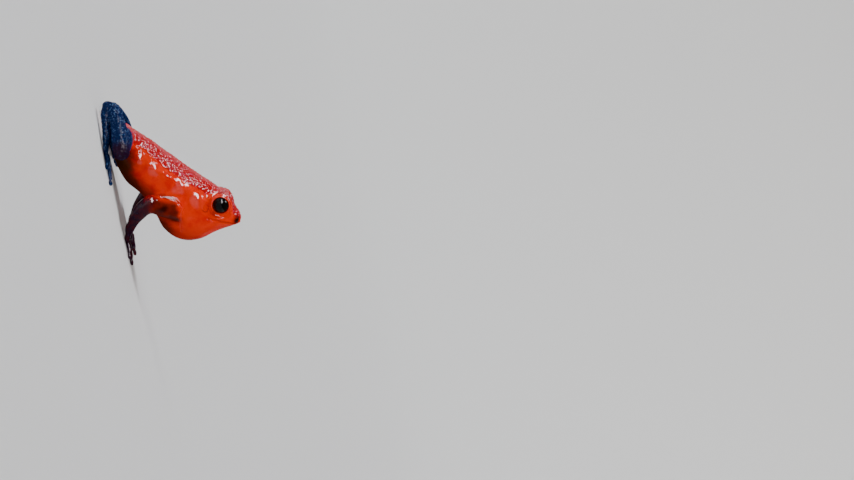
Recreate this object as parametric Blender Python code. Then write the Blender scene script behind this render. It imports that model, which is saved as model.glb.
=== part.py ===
"""A strawberry poison dart frog, life size, sitting with its chest raised on its arms.

The frog faces +X, its left side is +Y and it sits on the floor at z = 0.
The numbers below are millimetres, and each finished node is scaled to metres.
Torso and head are one loft, parted by a thin cut at the neck. Each piece of a limb is
a tube through its joints, cut back by the grown shape of the piece that it grows from.
"""

import math

import bmesh
import bpy
from mathutils import Matrix, Vector

MM = 0.001
GAP = 0.3
EYE_GAP = 0.2
# Cutting blocks and rays are this long, well past every side of the frog.
FAR = 60
CENTRE = (1.07, 0.15)

# Body sections from rump to snout: x and z of the top, x and z of the underside, half
# width, and how far down the section is at its widest.
BODY = [
    (-6.72, 2.90, -6.58, 2.05, 0.70, 0.50),
    (-6.30, 3.62, -5.85, 1.50, 1.50, 0.50),
    (-5.25, 4.65, -4.20, 0.95, 2.35, 0.52),
    (-3.60, 6.30, -1.70, 0.85, 3.00, 0.55),
    (-1.60, 8.05, 1.20, 1.60, 3.45, 0.56),
    (0.40, 9.85, 3.80, 3.50, 3.75, 0.56),
    (2.20, 11.50, 6.35, 4.55, 3.80, 0.54),
    (3.70, 12.95, 9.10, 5.40, 3.62, 0.52),
    (4.80, 13.95, 11.05, 7.35, 3.42, 0.50),
    (5.70, 14.70, 11.55, 9.75, 3.22, 0.49),
    (6.70, 15.25, 11.05, 11.90, 2.95, 0.54),
    (7.70, 15.72, 10.75, 13.40, 2.50, 0.58),
    (8.60, 16.08, 10.66, 14.45, 1.95, 0.58),
    (9.35, 16.27, 10.60, 15.05, 1.40, 0.56),
    (9.95, 16.22, 10.55, 15.50, 0.80, 0.52),
]
RUMP = (-6.86, 2.42)
SNOUT = (10.42, 15.95)
BODY_SIDES = 28
BODY_STEPS = 38

# The neck cut runs from the back to the throat.
NECK_TOP = (3.95, 13.45)
NECK_UNDER = (10.05, 7.15)

EYE_PLACE = (7.10, 2.40, 13.98)
EYE_RADIUS = 1.13
BROW_PLACE = (6.95, 1.75, 14.12)
BROW_RADIUS = 1.60
EYE_AXIS = (0.02, 0.99, -0.08)
LID_PLACE = (7.12, 2.56, 13.97)
LID_RADIUS = 1.42
LID_THICK = 0.28
# The socket is round behind the eye, and its outer half is drawn out this many times.
SOCKET_REACH = 3

# The mouth lies in one sloping plane, seen from a point between its corners.
MOUTH_MIDDLE = (8.66, 12.40)
MOUTH_FRONT = (10.30, 15.42)
MOUTH_SWEEP = 98
MOUTH_STEPS = 19
LIP_HALF_WIDTH = 0.36
LIP_SINK = 0.24
LIP_TAPER = 0.6
GROOVE_HALF_WIDTH = 0.15

NOSTRIL = (9.86, 15.66)
NOSTRIL_RADIUS = 0.17
EAR = (6.95, 11.85)
EAR_RADIUS = 0.5
EAR_RIM = 0.13

# Limb joints on the left: x, y, z, half width and half height of the flesh there.
UPPER_ARM = [
    (6.75, 1.60, 9.30, 1.55, 1.45),
    (6.20, 3.00, 8.00, 1.58, 1.40),
    (5.40, 4.10, 6.20, 1.48, 1.28),
    (4.60, 4.75, 4.95, 1.22, 1.12),
]
FOREARM = [
    (4.32, 4.88, 4.45, 1.06, 1.04),
    (4.95, 4.95, 3.35, 1.14, 1.06),
    (6.05, 4.70, 2.05, 0.86, 0.84),
    (7.30, 4.40, 1.05, 0.62, 0.56),
]
PALM = [
    (7.15, 4.42, 1.05, 0.55, 0.42),
    (7.85, 4.35, 0.70, 0.78, 0.42),
    (8.75, 4.30, 0.28, 0.95, 0.38),
]
THIGH = [
    (-5.35, 0.90, 2.70, 1.20, 1.15),
    (-5.10, 3.00, 2.80, 1.55, 1.32),
    (-4.70, 5.60, 2.72, 1.40, 1.25),
    (-4.50, 7.20, 2.62, 1.18, 1.15),
]
SHANK = [
    (-4.05, 8.50, 2.55, 1.05, 1.15),
    (-5.65, 7.25, 2.66, 1.15, 1.24),
    (-7.75, 5.20, 2.72, 0.92, 1.02),
    (-9.70, 3.20, 2.40, 0.66, 0.76),
]
TARSUS = [
    (-10.05, 2.95, 1.75, 0.62, 0.80),
    (-9.05, 3.70, 1.25, 0.62, 0.70),
    (-7.45, 4.70, 0.92, 0.56, 0.55),
    (-5.95, 5.60, 0.72, 0.64, 0.52),
]
SOLE = [
    (-6.10, 5.50, 0.70, 0.58, 0.45),
    (-5.20, 6.10, 0.52, 0.85, 0.42),
    (-4.25, 6.75, 0.26, 0.90, 0.36),
]

# Digits: turn from the axis of the palm or sole, outward positive, length, disc radius.
FINGERS = [(-42, 1.75, 0.30), (-16, 2.35, 0.38), (8, 3.05, 0.44), (38, 2.25, 0.38)]
TOES = [(-52, 1.5, 0.26), (-27, 2.4, 0.30), (-10, 3.5, 0.34), (4, 4.7, 0.37), (26, 3.0, 0.32)]
DIGIT_HALF_WIDTH = 0.27
DIGIT_ARCH = 0.38
DIGIT_TIP = 0.85
DISC_HEIGHT = 0.42
DISC_SINK = 0.03
# Digits start a little past the end of the palm, spread over part of its half width.
ROOT_AHEAD = 0.25
ROOT_SPREAD = 0.55
HAND_TURN = -8
FOOT_TURN = 35
# The left hand and leg are set a little forward of the right, as in a live stance.
HAND_STRIDE = 0.4
LEG_STRIDE = 1.2
LEG_DROP = 0.3
LEFT_SPLAY = 5

SKIN_RED = (0.78, 0.09, 0.02, 1)
LEG_BLUE = (0.04, 0.09, 0.24, 1)
HAND_PURPLE = (0.12, 0.03, 0.09, 1)
EYE_BLACK = (0.005, 0.005, 0.006, 1)


def empty_scene():
    """Empties the scene and makes the collections of the parts and of the cutters."""
    for old in list(bpy.data.objects):
        bpy.data.objects.remove(old)
    for name in ("strawberry_poison_dart_frog", "cutters"):
        made = bpy.data.collections.new(name)
        bpy.context.scene.collection.children.link(made)


def placed(name, mesh):
    """A new object for the mesh among the cutters, where every shape starts."""
    made = bpy.data.objects.new(name, mesh)
    bpy.data.collections["cutters"].objects.link(made)
    return made


def from_bmesh(name, bm):
    """A new object that holds the bmesh."""
    bmesh.ops.recalc_face_normals(bm, faces=bm.faces)
    mesh = bpy.data.meshes.new(name)
    bm.to_mesh(mesh)
    bm.free()
    return placed(name, mesh)


def resampled(rows, count):
    """Rows of numbers at even steps along a smooth curve through the given rows."""
    last = len(rows) - 1
    found = []
    for i in range(count):
        place = i * last / (count - 1)
        k = min(int(place), last - 1)
        u = place - k
        before = rows[max(k - 1, 0)]
        after = rows[min(k + 2, last)]
        row = []
        for a, b, c, d in zip(before, rows[k], rows[k + 1], after):
            bend = 2 * a - 5 * b + 4 * c - d + u * (3 * (b - c) + d - a)
            row.append(b + 0.5 * u * (c - a + u * bend))
        found.append(row)
    return found


def domed(ring, tip, steps):
    """Rings that round off the end of a loft towards its tip."""
    centre = sum(ring, Vector()) / len(ring)
    rings = []
    for k in range(1, steps + 1):
        angle = k / (steps + 1) * math.pi / 2
        moved = centre.lerp(tip, math.sin(angle))
        rings.append([moved + (p - centre) * math.cos(angle) for p in ring])
    return rings


def lofted(name, rings, tips, dome_steps):
    """A closed loft through the rings, ended by a point at each tip."""
    start = domed(rings[0], tips[0], dome_steps)[::-1]
    rings = start + rings + domed(rings[-1], tips[1], dome_steps)
    bm = bmesh.new()
    loops = [[bm.verts.new(p) for p in ring] for ring in rings]
    sides = len(loops[0])
    for one, two in zip(loops, loops[1:]):
        for k in range(sides):
            j = (k + 1) % sides
            bm.faces.new((one[k], one[j], two[j], two[k]))
    for loop, tip in ((loops[0], tips[0]), (loops[-1], tips[1])):
        point = bm.verts.new(tip)
        for k in range(sides):
            bm.faces.new((loop[k], loop[(k + 1) % sides], point))
    return from_bmesh(name, bm)


def body(name, grow=0.0):
    """The loft of torso and head, made larger all round by grow."""
    rings = []
    for top_x, top_z, under_x, under_z, half_width, level in resampled(BODY, BODY_STEPS):
        top = Vector((top_x, 0, top_z))
        under = Vector((under_x, 0, under_z))
        down = (under - top).normalized()
        top -= down * grow
        under += down * grow
        widest = top.lerp(under, level)
        ring = []
        for k in range(BODY_SIDES):
            angle = 2 * math.pi * k / BODY_SIDES
            reach = top - widest if math.cos(angle) > 0 else widest - under
            across = Vector((0, (half_width + grow) * math.sin(angle), 0))
            ring.append(widest + reach * math.cos(angle) + across)
        rings.append(ring)
    tips = []
    for (x, z), ring in ((RUMP, rings[0]), (SNOUT, rings[-1])):
        point = Vector((x, 0, z))
        centre = sum(ring, Vector()) / len(ring)
        tips.append(point + (point - centre).normalized() * grow)
    return lofted(name, rings, tips, 0)


def tube(name, joints, grow=0.0, sides=12, steps=9, dome_steps=3):
    """A round-ended tube of flesh through the joints, made larger all round by grow."""
    rows = resampled(joints, steps)
    points = [Vector(row[:3]) for row in rows]
    rings = []
    for i, row in enumerate(rows):
        along = (points[min(i + 1, steps - 1)] - points[max(i - 1, 0)]).normalized()
        across = along.cross(Vector((0, 0, 1))).normalized()
        rise = across.cross(along)
        ring = []
        for k in range(sides):
            angle = 2 * math.pi * k / sides
            out = across * (row[3] + grow) * math.cos(angle)
            ring.append(points[i] + out + rise * (row[4] + grow) * math.sin(angle))
        rings.append(ring)
    tips = []
    for end, inner in ((0, 1), (-1, -2)):
        away = (points[end] - points[inner]).normalized()
        tips.append(points[end] + away * (min(rows[end][3:]) + grow))
    return lofted(name, rings, tips, dome_steps)


def turned(place, axis):
    """The matrix that takes a shape round +Z to the place, round the axis."""
    turn = Vector((0, 0, 1)).rotation_difference(Vector(axis)).to_matrix().to_4x4()
    return Matrix.Translation(place) @ turn


def ball(name, place, radius, height=None, axis=(0, 0, 1), rings=10):
    """A closed sphere round the axis, or an ellipsoid of its own height along it."""
    bm = bmesh.new()
    bmesh.ops.create_uvsphere(bm, u_segments=2 * rings, v_segments=rings, radius=radius)
    stretch = (height or radius) / radius
    bm.transform(turned(place, axis) @ Matrix.Diagonal((1, 1, stretch, 1)))
    return from_bmesh(name, bm)


def socket(place, axis):
    """The hollow for an eye: half a sphere, open outwards along the axis."""
    bm = bmesh.new()
    bmesh.ops.create_uvsphere(bm, u_segments=24, v_segments=12, radius=EYE_RADIUS + EYE_GAP)
    for vert in bm.verts:
        vert.co.z *= SOCKET_REACH if vert.co.z > 0 else 1
    bm.transform(turned(place, axis))
    return from_bmesh("socket", bm)


def hoop(name, place, axis, radius, thick, sides=20):
    """A torus round the axis."""
    bpy.ops.mesh.primitive_torus_add(
        major_radius=radius, minor_radius=thick, major_segments=sides, minor_segments=6
    )
    made = bpy.context.object
    mesh = made.data
    mesh.transform(turned(place, axis))
    bpy.data.objects.remove(made)
    return placed(name, mesh)


def floor_block(name):
    """A block of everything below the floor."""
    bm = bmesh.new()
    bmesh.ops.create_cube(bm, size=FAR)
    bm.transform(Matrix.Translation((0, 0, -FAR / 2)))
    return from_bmesh(name, bm)


def combine(target, others, operation, solver="EXACT"):
    """Applies one Boolean of the other shapes to the target, and removes them."""
    group = bpy.data.collections.new("combined")
    for other in others:
        group.objects.link(other)
    change = target.modifiers.new("combine", "BOOLEAN")
    change.operation = operation
    change.operand_type = "COLLECTION"
    change.collection = group
    change.solver = solver
    depsgraph = bpy.context.evaluated_depsgraph_get()
    mesh = bpy.data.meshes.new_from_object(target.evaluated_get(depsgraph))
    target.modifiers.clear()
    target.data = mesh
    for other in others:
        bpy.data.objects.remove(other)
    bpy.data.collections.remove(group)
    return target


def largest_surface(target):
    """Keeps only the closed surface that holds the most."""
    bm = bmesh.new()
    bm.from_mesh(target.data)
    bmesh.ops.remove_doubles(bm, verts=bm.verts, dist=0.0005)
    bmesh.ops.dissolve_degenerate(bm, edges=bm.edges, dist=0.002)
    bmesh.ops.triangulate(bm, faces=bm.faces)
    left = set(bm.faces)
    groups = []
    while left:
        todo = [left.pop()]
        group = []
        while todo:
            face = todo.pop()
            group.append(face)
            for edge in face.edges:
                for near in edge.link_faces:
                    if near in left:
                        left.remove(near)
                        todo.append(near)
        groups.append(group)
    groups.sort(key=held_volume)
    for group in groups[:-1]:
        bmesh.ops.delete(bm, geom=group, context="FACES")
    loose = [v for v in bm.verts if not v.link_faces]
    bmesh.ops.delete(bm, geom=loose, context="VERTS")
    bm.to_mesh(target.data)
    bm.free()


def held_volume(faces):
    """The volume inside a closed group of triangles."""
    total = 0.0
    for face in faces:
        a, b, c = (v.co for v in face.verts)
        total += a.dot(b.cross(c)) / 6
    return abs(total)


def finished(shape, name, colour, roughness=0.35):
    """Turns a shape into a node of the frog, in metres and with its own material."""
    largest_surface(shape)
    shape.name = name
    shape.data.name = name
    shape.data.transform(Matrix.Scale(MM, 4) @ Matrix.Translation((-CENTRE[0], -CENTRE[1], 0)))
    corners = [Vector(corner) for corner in shape.bound_box]
    bpy.context.view_layer.update()
    middle = sum(corners, Vector()) / len(corners)
    shape.data.transform(Matrix.Translation(-middle))
    shape.location = middle
    material = bpy.data.materials.new(name)
    material.use_nodes = True
    shader = material.node_tree.nodes["Principled BSDF"]
    shader.inputs["Base Color"].default_value = colour
    shader.inputs["Roughness"].default_value = roughness
    shape.data.materials.clear()
    shape.data.materials.append(material)
    shape.data.shade_smooth()
    shape.data.set_sharp_from_angle(angle=math.radians(50))
    bpy.data.collections["cutters"].objects.unlink(shape)
    bpy.data.collections["strawberry_poison_dart_frog"].objects.link(shape)
    return shape


def on_side(joints, side, start_stride=0.0, end_stride=0.0, drop=0.0):
    """Joints given on the left, put on the side. The left ones move ahead and down."""
    moved = []
    for i, (x, y, z, *rest) in enumerate(joints):
        if side > 0:
            part = i / (len(joints) - 1)
            x += start_stride * (1 - part) + end_stride * part
            z -= drop
        moved.append((x, y * side, z, *rest))
    return moved


def mirrored(place, side):
    """A place given on the left, put on the side."""
    return (place[0], place[1] * side, place[2])


def surface_point(shape, x, z, side):
    """Where a ray from the side meets the shape, and the direction out of it there."""
    start = Vector((x, FAR * side, z))
    _, place, normal, _ = shape.ray_cast(start, Vector((0, -side, 0)))
    return place, normal


def neck_cut(keep_head):
    """All that lies on one side of the neck, out to the middle of its gap."""
    shift = GAP / 2 if keep_head else -GAP / 2
    along = Vector((NECK_UNDER[0] - NECK_TOP[0], 0, NECK_UNDER[1] - NECK_TOP[1])).normalized()
    ahead = Vector((-along.z, 0, along.x))
    shift += -FAR / 2 if keep_head else FAR / 2
    middle = Vector((NECK_TOP[0], 0, NECK_TOP[1])) + ahead * shift
    bm = bmesh.new()
    bmesh.ops.create_cube(bm, size=FAR)
    turn = Matrix((along, Vector((0, 1, 0)), ahead)).transposed().to_4x4()
    bm.transform(Matrix.Translation(middle) @ turn)
    return from_bmesh("neck_cut", bm)


def torso():
    """Rump, belly, back and shoulders, up to the neck."""
    return combine(body("torso"), [neck_cut(keep_head=False)], "DIFFERENCE")


def mouth_tube(name, shape, half_width, sink, sides):
    """A tube along the mouth, from corner to corner, sunk a little into the shape."""
    middle = Vector((MOUTH_MIDDLE[0], 0, MOUTH_MIDDLE[1]))
    ahead = (Vector((MOUTH_FRONT[0], 0, MOUTH_FRONT[1])) - middle).normalized()
    joints = []
    for k in range(MOUTH_STEPS):
        share = 2 * k / (MOUTH_STEPS - 1) - 1
        angle = math.radians(MOUTH_SWEEP * share)
        out = ahead * math.cos(angle) + Vector((0, math.sin(angle), 0))
        _, place, _, _ = shape.ray_cast(middle, out)
        size = half_width * (1 - LIP_TAPER * abs(share) ** 5)
        joints.append((*(place - out * sink), size, size))
    return tube(name, joints, sides=sides, steps=MOUTH_STEPS, dome_steps=1)


def head():
    """Snout, jaws, brows, lids, ear rings and nostrils, in front of the neck."""
    shape = combine(body("head"), [neck_cut(keep_head=True)], "DIFFERENCE")
    raised = [mouth_tube("lips", shape, LIP_HALF_WIDTH, LIP_SINK, 8)]
    pits = [mouth_tube("mouth", shape, GROOVE_HALF_WIDTH, 0, 6)]
    for side in (1, -1):
        raised.append(ball("brow", mirrored(BROW_PLACE, side), BROW_RADIUS))
        axis = mirrored(EYE_AXIS, side)
        raised.append(hoop("lid", mirrored(LID_PLACE, side), axis, LID_RADIUS, LID_THICK))
        ear, out = surface_point(shape, EAR[0], EAR[1], side)
        raised.append(hoop("ear", ear, out, EAR_RADIUS, EAR_RIM, 14))
        eye = mirrored(EYE_PLACE, side)
        pits.append(socket(eye, axis))
        nostril, _ = surface_point(shape, NOSTRIL[0], NOSTRIL[1], side)
        pits.append(ball("nostril", nostril, NOSTRIL_RADIUS, rings=6))
    combine(shape, raised, "UNION")
    return combine(shape, pits, "DIFFERENCE")


def digit(name, root, turn, length, disc, side):
    """A finger or toe from its root, arched along its length, with a disc at its tip."""
    aim = math.radians(turn)
    ahead = Vector((math.cos(aim), math.sin(aim) * side, 0))
    ground = DISC_HEIGHT / 2
    tip = Vector((root.x, root.y, 0)) + ahead * length
    middle = root.lerp(tip, 0.5)
    width = DIGIT_HALF_WIDTH
    joints = [
        (root.x, root.y, root.z, width, width),
        (middle.x, middle.y, DIGIT_ARCH, width, width),
        (tip.x, tip.y, ground, width * DIGIT_TIP, ground * DIGIT_TIP),
    ]
    shaft = tube(name, joints, sides=7, steps=5, dome_steps=1)
    pad = ball("disc", (tip.x, tip.y, ground), disc, DISC_SINK + ground, rings=5)
    return [shaft, pad]


def palm_with_digits(name, joints, digits, turn, side):
    """A hand or foot: the palm or sole, and its digits fused to it."""
    base = tube(name, joints, sides=12, steps=5, dome_steps=3)
    end = Vector(joints[-1][:3])
    pieces = []
    for angle, length, disc in digits:
        aim = math.radians(turn + angle)
        across = joints[-1][3] * ROOT_SPREAD * math.sin(math.radians(angle)) * side
        root = end + Vector((ROOT_AHEAD * math.cos(aim), across, 0))
        pieces += digit(name, root, turn + angle, length, disc, side)
    return combine(base, pieces, "UNION", "MANIFOLD")


def arm(side):
    """Upper arm, forearm with the elbow, and hand of one side."""
    word = "left" if side > 0 else "right"
    upper = on_side(UPPER_ARM, side)
    fore = on_side(FOREARM, side, 0, HAND_STRIDE)
    palm = on_side(PALM, side, HAND_STRIDE, HAND_STRIDE)
    roots = [body("root", GAP), tube("root", fore, GAP)]
    finished(combine(tube("arm", upper), roots, "DIFFERENCE"), f"upper_arm_{word}", SKIN_RED)
    finished(tube("arm", fore), f"forearm_{word}", HAND_PURPLE)
    turn = HAND_TURN + (LEFT_SPLAY if side > 0 else 0)
    shape = palm_with_digits("hand", palm, FINGERS, turn, side)
    combine(shape, [tube("root", fore, GAP), floor_block("floor")], "DIFFERENCE", "MANIFOLD")
    finished(shape, f"hand_{word}", HAND_PURPLE)


def leg(side):
    """Thigh, shank with the knee, tarsus and foot of one side."""
    word = "left" if side > 0 else "right"
    thigh = on_side(THIGH, side, 0, LEG_STRIDE, LEG_DROP)
    shank = on_side(SHANK, side, LEG_STRIDE, LEG_STRIDE, LEG_DROP)
    tarsus = on_side(TARSUS, side, LEG_STRIDE, LEG_STRIDE)
    sole = on_side(SOLE, side, LEG_STRIDE, LEG_STRIDE)
    roots = [body("root", GAP), tube("root", shank, GAP)]
    finished(combine(tube("leg", thigh), roots, "DIFFERENCE"), f"thigh_{word}", LEG_BLUE)
    finished(tube("leg", shank), f"shank_{word}", LEG_BLUE)
    roots = [tube("root", shank, GAP), floor_block("floor")]
    finished(combine(tube("leg", tarsus), roots, "DIFFERENCE"), f"tarsus_{word}", LEG_BLUE)
    turn = FOOT_TURN + (LEFT_SPLAY if side > 0 else 0)
    shape = palm_with_digits("foot", sole, TOES, turn, side)
    roots = [tube("root", tarsus, GAP), floor_block("floor")]
    finished(combine(shape, roots, "DIFFERENCE", "MANIFOLD"), f"foot_{word}", LEG_BLUE)


def main():
    """Makes every node of the frog."""
    empty_scene()
    finished(torso(), "torso", SKIN_RED)
    finished(head(), "head", SKIN_RED)
    for side, word in ((1, "left"), (-1, "right")):
        eye = ball("eye", mirrored(EYE_PLACE, side), EYE_RADIUS)
        finished(eye, f"eye_{word}", EYE_BLACK, 0.05)
        arm(side)
        leg(side)


main()
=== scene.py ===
"""The looks of a life-size strawberry poison dart frog, set on its solid parts.

One seamless skin stands for all nodes of flesh, and two glossy balls for the eyes. The
skin starts as the lofts and tubes of the solids, finer. They are fused, drawn onto one
smoothly blended surface and given the small forms. Millimetres turn to metres at the end.
"""

import math

import bmesh
import bpy
import numpy as np
from mathutils import Matrix, Vector, noise
from mathutils.bvhtree import BVHTree


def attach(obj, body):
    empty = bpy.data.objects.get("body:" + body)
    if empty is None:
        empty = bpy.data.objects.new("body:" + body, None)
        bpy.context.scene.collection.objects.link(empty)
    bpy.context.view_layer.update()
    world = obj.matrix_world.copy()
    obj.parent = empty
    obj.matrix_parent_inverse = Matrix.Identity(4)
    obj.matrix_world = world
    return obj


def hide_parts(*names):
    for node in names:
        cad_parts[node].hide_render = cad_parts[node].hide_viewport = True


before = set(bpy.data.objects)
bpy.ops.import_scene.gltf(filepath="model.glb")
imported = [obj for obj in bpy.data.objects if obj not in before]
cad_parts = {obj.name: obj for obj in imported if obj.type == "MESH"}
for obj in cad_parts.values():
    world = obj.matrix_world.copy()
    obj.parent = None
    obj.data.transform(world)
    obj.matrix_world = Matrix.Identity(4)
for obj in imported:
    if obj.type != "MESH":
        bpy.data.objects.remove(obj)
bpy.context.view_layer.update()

MM = 0.001
CENTRE = (1.07, 0.15, 0)

# Body sections from rump to snout: x and z of the top, x and z of the underside, half
# width, and how far down the section is at its widest.
BODY = [
    (-6.72, 2.90, -6.58, 2.05, 0.70, 0.50),
    (-6.30, 3.62, -5.85, 1.50, 1.50, 0.50),
    (-5.25, 4.65, -4.20, 0.95, 2.35, 0.52),
    (-3.60, 6.30, -1.70, 0.85, 3.00, 0.55),
    (-1.60, 8.05, 1.20, 1.60, 3.45, 0.56),
    (0.40, 9.85, 3.80, 3.50, 3.75, 0.56),
    (2.20, 11.50, 6.35, 4.55, 3.80, 0.54),
    (3.70, 12.95, 9.10, 5.40, 3.62, 0.52),
    (4.80, 13.95, 11.05, 7.35, 3.42, 0.50),
    (5.70, 14.70, 11.55, 9.75, 3.22, 0.49),
    (6.70, 15.25, 11.05, 11.90, 2.95, 0.54),
    (7.70, 15.72, 10.75, 13.40, 2.50, 0.58),
    (8.60, 16.08, 10.66, 14.45, 1.95, 0.58),
    (9.35, 16.27, 10.60, 15.05, 1.40, 0.56),
    (9.95, 16.22, 10.55, 15.50, 0.80, 0.52),
]
RUMP = (-6.86, 0, 2.42)
SNOUT = (10.42, 0, 15.95)
BODY_SIDES = 96
BODY_STEPS = 150

EYE_PLACE = (7.10, 2.40, 13.98)
EYE_RADIUS = 1.13
EYE_AXIS = (0.02, 0.99, -0.08)
SOCKET_GAP = 0.02
BROW_PLACE = (6.95, 1.75, 14.12)
BROW_RADIUS = 1.60

MOUTH_MIDDLE = (8.66, 0, 12.40)
MOUTH_FRONT = (10.30, 0, 15.42)
MOUTH_SWEEP = 98
MOUTH_STEPS = 181
NOSTRIL = (9.86, 15.66)
EAR = (6.95, 11.85)

# Limb joints on the left: x, y, z, half width and half height of the flesh there.
UPPER_ARM = [
    (6.75, 1.60, 9.30, 1.55, 1.45),
    (6.20, 3.00, 8.00, 1.58, 1.40),
    (5.40, 4.10, 6.20, 1.48, 1.28),
    (4.60, 4.75, 4.95, 1.22, 1.12),
]
FOREARM = [
    (4.32, 4.88, 4.45, 1.06, 1.04),
    (4.95, 4.95, 3.35, 1.14, 1.06),
    (6.05, 4.70, 2.05, 0.86, 0.84),
    (7.30, 4.40, 1.05, 0.62, 0.56),
]
PALM = [
    (7.15, 4.42, 1.05, 0.55, 0.42),
    (7.85, 4.35, 0.70, 0.78, 0.42),
    (8.75, 4.30, 0.28, 0.95, 0.38),
]
THIGH = [
    (-5.35, 0.90, 2.70, 1.20, 1.15),
    (-5.10, 3.00, 2.80, 1.55, 1.32),
    (-4.70, 5.60, 2.72, 1.40, 1.25),
    (-4.50, 7.20, 2.62, 1.18, 1.15),
]
SHANK = [
    (-4.05, 8.50, 2.55, 1.05, 1.15),
    (-5.65, 7.25, 2.66, 1.15, 1.24),
    (-7.75, 5.20, 2.72, 0.92, 1.02),
    (-9.70, 3.20, 2.40, 0.66, 0.76),
]
TARSUS = [
    (-10.05, 2.95, 1.75, 0.62, 0.80),
    (-9.05, 3.70, 1.25, 0.62, 0.70),
    (-7.45, 4.70, 0.92, 0.56, 0.55),
    (-5.95, 5.60, 0.72, 0.64, 0.52),
]
SOLE = [
    (-6.10, 5.50, 0.70, 0.58, 0.45),
    (-5.20, 6.10, 0.52, 0.85, 0.42),
    (-4.25, 6.75, 0.26, 0.90, 0.36),
]

# Digits: turn from the axis of the palm or sole, outward positive, length, disc radius.
FINGERS = [(-42, 1.75, 0.30), (-16, 2.35, 0.38), (8, 3.05, 0.44), (38, 2.25, 0.38)]
TOES = [(-52, 1.5, 0.26), (-27, 2.4, 0.30), (-10, 3.5, 0.34), (4, 4.7, 0.37), (26, 3.0, 0.32)]
DIGIT_HALF_WIDTH = 0.27
DIGIT_ARCH = 0.38
DIGIT_TIP = 0.85
DISC_HEIGHT = 0.42
DISC_SINK = 0.03
ROOT_AHEAD = 0.25
ROOT_SPREAD = 0.55
DIGIT_ROWS = 13
HAND_TURN = -8
FOOT_TURN = 35
HAND_STRIDE = 0.4
LEG_STRIDE = 1.2
LEG_DROP = 0.3
LEFT_SPLAY = 5
KNUCKLES = (0.36, 0.68)
KNUCKLE = 0.16
KNUCKLE_REACH = 0.1
DIGIT_WAIST = 0.88
SHAFT_SLIM = 0.6

# How softly each form runs into those before it.
BLENDS = {"brow": 0.9, "upper_arm": 0.9, "forearm": 0.7, "palm": 0.6, "thigh": 0.8, "shank": 0.35}
BLENDS |= {"tarsus": 0.3, "sole": 0.3, "digit": 0.16, "hollow": 0.7, "lid": 0.14}
BLENDS |= {"socket": 0.08, "floor": 0.04}

# Edges of pupil and iris, and the lid: a ring, thicker above, with flesh round it that
# slopes outward, steeper beyond its reach.
PUPIL = (0.46, 0.54)
PUPIL_WIDTH = 1.35
IRIS = (0.90, 0.98)
LID_RADIUS = 1.18
LID_LEVEL = 0.12
LID_THICK = 0.15
LID_SWELL = 0.05
LID_SLOPE = 0.8
LID_REACH = 1.6
LID_STEEPER = 2

# Lines of the skin on either side: x and z, where a level ray from the side meets it.
FLANK_RIDGE = [(-2.4, 3.9), (-0.4, 6.1), (1.4, 7.7), (3.1, 9.4), (4.75, 11.0), (5.6, 12.2)]
SHOULDER_FOLD = [(5.0, 8.35), (5.6, 8.5), (6.3, 8.5), (7.8, 8.1), (9.9, 7.7)]
SNOUT_EDGE = [(8.15, 14.75), (8.9, 15.35), (9.6, 15.85)]

# The pit behind the left arm, where the skin is drawn smooth.
ARMPIT = (4.6, 3.4, 7.7)
ARMPIT_REACH = 1.3

# Swellings of the skin on either side: x and z as above, reach and height.
SWELLINGS = [
    (-1.75, 4.40, 0.50, 0.20),
    (0.15, 6.05, 0.60, 0.26),
    (0.62, 6.35, 0.22, 0.06),
    (3.35, 9.35, 0.70, 0.34),
    (2.45, 9.20, 0.45, 0.14),
    (3.50, 8.20, 0.30, 0.07),
    (5.60, 11.10, 0.85, 0.42),
    (5.60, 12.50, 0.35, 0.08),
    (8.62, 11.86, 0.13, 0.08),
    (8.88, 12.30, 0.13, 0.08),
]

# Small forms along a line or round a place: height, width, and how far out the crest is.
NOSTRIL_RIM = (0.05, 0.1, 0.2)
NOSTRIL_PIT = (-0.2, 0.11, 0)
EAR_RIM = (0.02, 0.1, 0.42)
EAR_GROOVE = (-0.06, 0.07, 0.5)
EAR_DRUM = (0.25, 0.4)
EAR_DRUM_DEPTH = 0.02
EAR_FRONT = (-0.1, 0.35)
FLANK_RISE = (0.07, 0.6, 0)
SNOUT_RISE = (0.05, 0.2, 0)
FOLD_RISE = (0.05, 0.14, 0.2)
FOLD_GROOVE = (-0.09, 0.09, 0)
MOUTH_GROOVE = (-0.09, 0.075, 0)
MOUTH_END = 0.06
CORNER_DEPTH = 0.35
LIP_HEIGHT = 0.035
UPPER_LIP = 0.04
LIP_WIDTH = 0.34
LIP_TURN = (-0.1, 0.1)

# The groove along a disc and the pads beside it, whose width and crest are in radii.
DISC_GROOVE = (-0.05, 0.05, 0)
DISC_PADS = (0.03, 0.25, 0.4)
DISC_TOP = (0.1, 0.6)
DISC_BACK = (-0.9, -0.4)
DISC_MARGIN = 0.2

# Wrinkles of the chest: x and z of their middle, and where they fade and end.
WRINKLE_PLACE = (8.3, 6.6)
WRINKLE_FADE = (0.75, 1.95)
WRINKLE_HEIGHT = 0.02
WRINKLE_SPACING = 0.42
WRINKLE_SLANT = 0.25
WRINKLE_WAVER = 0.25
WAVER_SIZE = 0.9

# Grains of the skin and the slow unevenness under them: sizes and heights.
BODY_GRAIN = 0.36
LEG_GRAIN = 0.34
GRAIN_SPREAD = 0.62
BACK_GRAIN_HEIGHT = 0.065
LEG_GRAIN_HEIGHT = 0.05
LEAST_HEIGHT = 0.012
UNEVEN_SIZE = 1.6
UNEVEN_HEIGHT = 0.04
FLOOR_FADE = (0.03, 0.3)
LID_FADE = (0.0, 0.2)

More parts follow.
